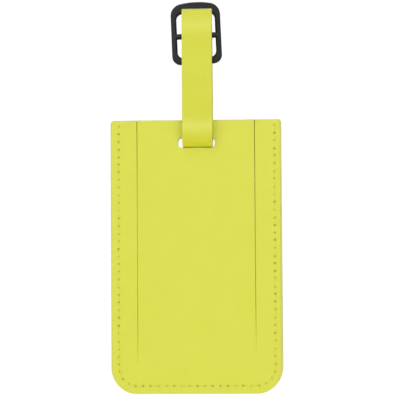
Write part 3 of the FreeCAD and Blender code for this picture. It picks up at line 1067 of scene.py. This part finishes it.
def strap_end_thread_piece():
    """The rows of stitches that close the sewn end: each lies where its CAD node's stitches lie."""
    co = node_points("strap_end_stitches")
    paths = []
    for face_y, outward in ((co[:, 1].min() + 0.36, -1), (co[:, 1].max() - 0.36, 1)):
        for z in (co[:, 2].min() + 0.18, co[:, 2].max() - 0.18):
            middle = (co[:, 0].min() + co[:, 0].max()) / 2
            for step in (-1, 0, 1):
                a = np.array((middle + step * 3.1 - 1.4, z))
                b = np.array((middle + step * 3.1 + 1.4, z))
                paths.append(stitch_path(a, b, face_y, outward, 0.0, 0.12, 0.3))
    return thread_piece("strap_end_threads", paths, 0.15, "strap_end_stitches", "strap")


# ---- Lining ----
HEM_WIDTH = 4.45
HEM_SLOPE = 0.4


def lining_piece():
    """The woven lining behind the card, folded up into a thick hem in the sewn margin."""
    inset = 0.08
    half = HALF_WIDTH - inset
    loop = rounded_loop(
        [
            (-half, TAG_TOP - inset, TOP_RADIUS - inset),
            (half, TAG_TOP - inset, TOP_RADIUS - inset),
            (half, TAG_BOTTOM + inset, BOTTOM_RADIUS - inset),
            (-half, TAG_BOTTOM + inset, BOTTOM_RADIUS - inset),
        ],
        1.0,
    )
    slot = slot_loop()
    xs = np.arange(-half + 1, half, 2.5)
    zs = np.arange(TAG_BOTTOM + 1.3, TAG_TOP - 1, 2.5)
    grid = np.array([(x, z) for x in xs for z in zs])
    rings = [loop + inward(loop) * d for d in (0.4, 1.4, 2.6, 3.6, 4.0, 4.3, 4.7)]
    extra = np.concatenate([grid, *rings])
    extra = extra[contains(loop, extra) & ~contains(slot, extra)]
    extra = extra[(distance_to(extra, *segments(loop)) > 0.3) & (distance_to(extra, *segments(slot)) > 0.3)]
    flat, tris, rim = triangulated([loop, slot], extra)
    margin = np.clip((HEM_WIDTH - (HALF_WIDTH - np.abs(flat[:, 0]))) / HEM_SLOPE, 0, 1)
    low = np.clip((HEM_WIDTH - (flat[:, 1] - TAG_BOTTOM)) / HEM_SLOPE, 0, 1)
    hem = np.maximum(margin, low)
    to_rim = distance_to(flat, *segments(loop))
    soft = 0.12 * np.clip(1 - to_rim / 0.5, 0, 1) ** 2
    front_thin, front_thick = BOARD_LO[1] - 0.25, LINING_LO[1]
    back_thin, back_thick = BOARD_LO[1], LINING_HI[1]
    front = front_thin + (front_thick - front_thin) * hem + soft
    back = back_thin - 0.01 + (back_thick - back_thin) * hem - soft
    count = len(flat)
    verts = [(x, y, z) for (x, z), y in zip(flat, front)] + [(x, y, z) for (x, z), y in zip(flat, back)]
    faces = [tuple(t) for t in tris] + [(a + count, c + count, b + count) for a, b, c in tris]
    start = 0
    for ring, hole in ((loop, False), (slot, True)):
        ccw = np.sum(ring[:, 0] * np.roll(ring[:, 1], -1) - np.roll(ring[:, 0], -1) * ring[:, 1]) > 0
        for k in range(len(ring)):
            a, b = rim[start + k], rim[start + (k + 1) % len(ring)]
            quad = (a, b, b + count, a + count)
            faces.append(quad[::-1] if ccw != hole else quad)
        start += len(ring)
    piece = mesh_object("pocket_lining_cloth", verts, faces, [WEAVE], [0] * len(faces))
    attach(piece, "tag")
    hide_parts("pocket_lining")
    return piece


def give(node, material):
    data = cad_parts[node].data
    data.materials.clear()
    data.materials.append(material)


# ---- Build ----
front_frame_piece()
front_flap_piece()
back_cover_piece()
seam_piece("front_seam_threads", FRONT_HOLES, TAG_LO[1], -1, "front_seam_stitches")
seam_piece("back_seam_threads", BACK_HOLES, BACK_HI[1], 1, "back_seam_stitches")
lining_piece()
strap_ply_piece("strap_outer_leather", "strap_outer_ply", 0.0, STRAP_HALF)
strap_ply_piece("strap_inner_leather", "strap_inner_ply", -STRAP_HALF, 0.0)
strap_end_thread_piece()
give("card_window", FILM)
give("address_card", PAPER)
give("stiffener_board", BOARD)
give("buckle_frame", PLASTIC)


# ---- Stage, light and camera ----
FLOOR_PALE = (0.9, 0.9, 0.9)
FLOOR_DEEP = tuple(c * 0.985 for c in FLOOR_PALE)
FLOOR_GLOW = 0.32
FLOOR_RADIUS = 1500
FLOOR_Z = -420.0
BACKDROP_RADIUS = 2600.0
BACKDROP_GLOW = 1.03


def floor_material():
    m, nodes, links, shader = node_material("floor_paint")
    shader.inputs["Emission Color"].default_value = WHITE
    shader.inputs["Emission Strength"].default_value = FLOOR_GLOW
    grain = noise_node(nodes, links, coordinates(nodes, links), 30.0, 2.0)
    links.new(mixed(nodes, links, grain, FLOOR_PALE, FLOOR_DEEP), shader.inputs["Base Color"])
    shader.inputs["Roughness"].default_value = 0.8
    return m


def floor_piece():
    """A round, pale floor some way below the tag."""
    verts, faces = [(0, 0, FLOOR_Z)], []
    rings, sides = 12, 96
    for r in range(1, rings + 1):
        reach = FLOOR_RADIUS * r / rings
        for k in range(sides):
            a = 2 * math.pi * k / sides
            verts.append((reach * math.cos(a), reach * math.sin(a), FLOOR_Z))
    for k in range(sides):
        n = (k + 1) % sides
        faces.append((0, 1 + k, 1 + n))
        for r in range(rings - 1):
            a, b = 1 + r * sides, 1 + (r + 1) * sides
            faces.append((a + k, b + k, b + n, a + n))
    floor = mesh_object("studio_floor", verts, faces, [floor_material()], [0] * len(faces))


def backdrop_piece():
    """A white shell all round, seen by the camera and in reflections, that gives matt surfaces no light."""
    m = bpy.data.materials.new("backdrop_glow")
    m.use_nodes = True
    nodes, links = m.node_tree.nodes, m.node_tree.links
    nodes.clear()
    out = nodes.new("ShaderNodeOutputMaterial")
    glow = nodes.new("ShaderNodeEmission")
    glow.inputs["Color"].default_value = WHITE
    glow.inputs["Strength"].default_value = BACKDROP_GLOW
    links.new(glow.outputs[0], out.inputs["Surface"])
    verts, faces = [], []
    rows, sides = 24, 48
    for r in range(rows + 1):
        b = math.pi * r / rows
        reach, height = BACKDROP_RADIUS * math.sin(b), BACKDROP_RADIUS * math.cos(b)
        for k in range(sides):
            a = 2 * math.pi * k / sides
            verts.append((reach * math.cos(a), reach * math.sin(a), height))
    for r in range(rows):
        for k in range(sides):
            n = (k + 1) % sides
            faces.append((r * sides + k, (r + 1) * sides + k, (r + 1) * sides + n, r * sides + n))
    shell = mesh_object("studio_backdrop", verts, faces, [m], [0] * len(faces))
    shell.visible_diffuse = False
    shell.visible_shadow = False


def area_light(name, place, aim, size, power):
    light = bpy.data.lights.new(name, "AREA")
    light.shape = "SQUARE"
    light.size = size
    light.energy = power
    obj = bpy.data.objects.new(name, light)
    obj.location = place
    obj.rotation_mode = "QUATERNION"
    obj.rotation_quaternion = (Vector(aim) - Vector(place)).to_track_quat("-Z", "Y")
    bpy.context.scene.collection.objects.link(obj)
    return obj


def studio():
    scene = bpy.context.scene
    scene.view_settings.view_transform = "Standard"
    world = bpy.data.worlds.new("studio_world")
    scene.world = world
    world.use_nodes = True
    background = world.node_tree.nodes["Background"]
    background.inputs["Color"].default_value = WHITE
    background.inputs["Strength"].default_value = 0.30
    middle = (0, 0, (TAG_TOP + TAG_BOTTOM) / 2 * METRE)
    area_light("key", (-0.40, -0.85, 0.95), middle, 1.1, 7.2)
    area_light("fill", (0.45, -1.25, -0.10), middle, 1.0, 5.0)
    area_light("bounce", (0.10, -0.90, -0.95), middle, 0.8, 1.3)
    area_light("rim", (0.2, 1.1, 0.7), middle, 0.8, 8.0)


def camera():
    """In front of the tag, a little to the right of it and looking slightly up."""
    distance, focal = 600.0, 1488.2
    yaw, pitch, roll = (math.radians(a) for a in (2.5, 2.5, 0.375))
    turned = Matrix.Rotation(yaw, 3, "Z") @ Matrix.Rotation(pitch, 3, "X") @ Matrix.Rotation(roll, 3, "Y")
    right, ahead, up = turned.col[0], turned.col[1], turned.col[2]
    aim = Vector((1.535, 0, -40.82))
    data = bpy.data.cameras.new("camera")
    data.sensor_width = 36.0
    data.lens = focal / 400 * data.sensor_width
    data.clip_start, data.clip_end = 0.01, 20.0
    obj = bpy.data.objects.new("camera", data)
    rotation = Matrix((right, up, -ahead)).transposed()
    obj.matrix_world = Matrix.Translation((aim - ahead * distance) * METRE) @ rotation.to_4x4()
    bpy.context.scene.collection.objects.link(obj)
    bpy.context.scene.camera = obj


floor_piece()
backdrop_piece()
studio()
camera()
